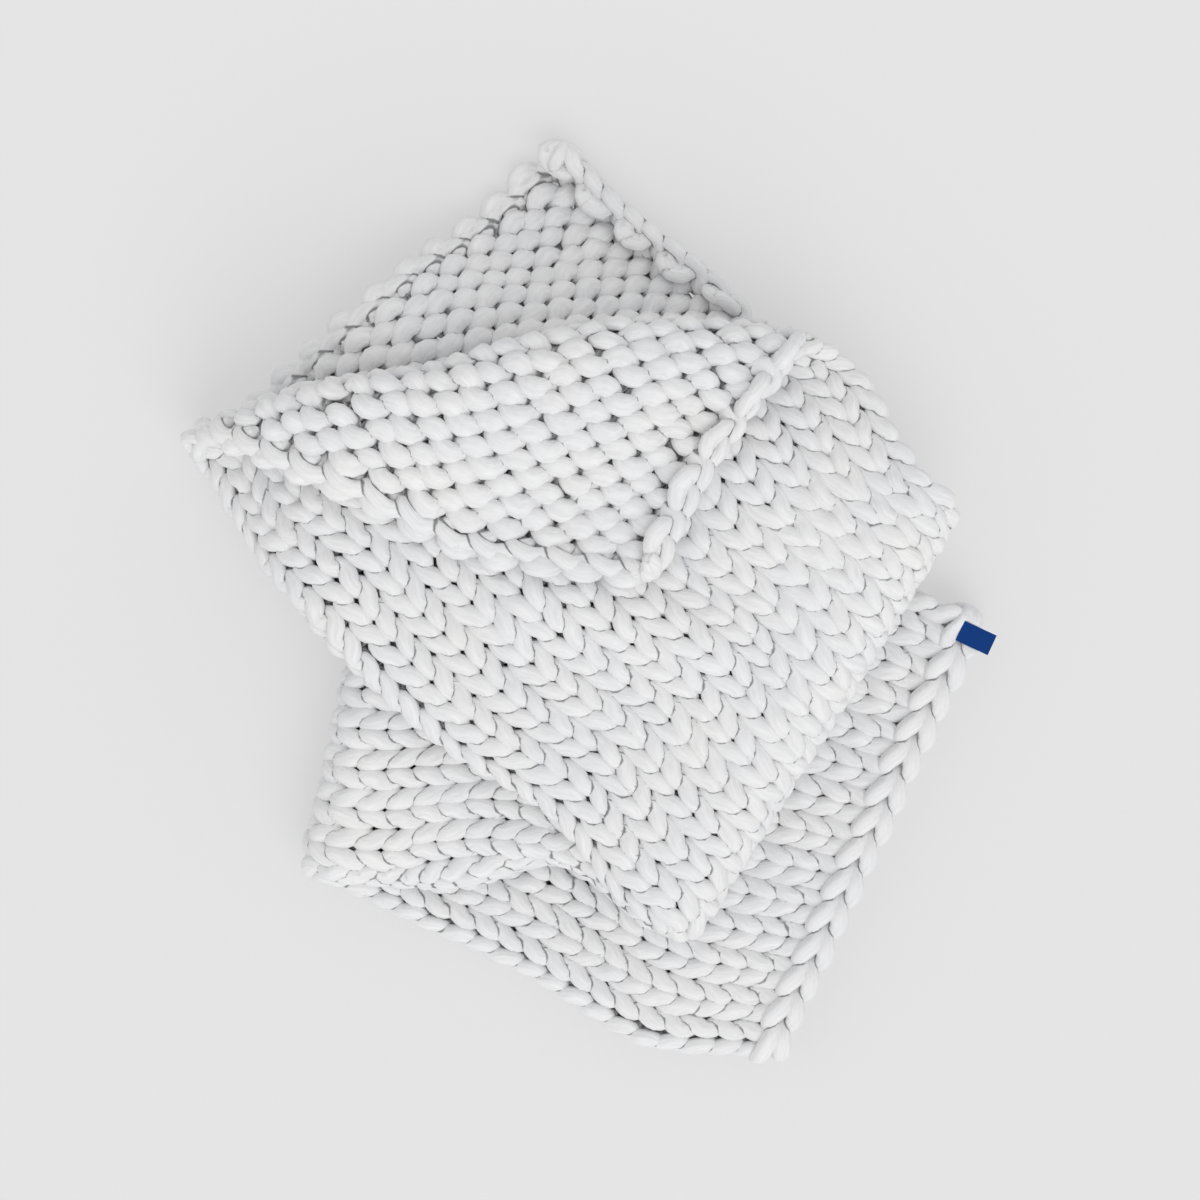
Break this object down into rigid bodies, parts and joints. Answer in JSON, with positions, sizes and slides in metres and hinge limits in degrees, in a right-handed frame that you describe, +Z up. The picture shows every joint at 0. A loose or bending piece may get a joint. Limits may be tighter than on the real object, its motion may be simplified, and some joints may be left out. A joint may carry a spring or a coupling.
{
  "type": "weighted blanket",
  "caption": "Chunky hand-knitted weighted blanket, doubled lengthwise and laid in a loose zigzag pile with one end peeled back; a small blank woven tab sits at one corner.",
  "frame": {"origin": "centre of the folded blanket's outline, on the surface that it lies on", "axes": "+Z up through the layers, +Y along the folded blanket's longer side, +X across it towards the bind-off edge"},
  "size_m": [0.8194, 0.931, 0.2269],
  "materials": {
    "cotton_yarn": "matte, soft tubular cotton yarn in a chunky plain knit, off-white to very light grey",
    "woven_tape": "matte, finely woven blue tape, left blank"
  },
  "bodies": {
    "root": {"blanket": "cotton_yarn", "label_tab": "woven_tape"}
  },
  "joints": []
}
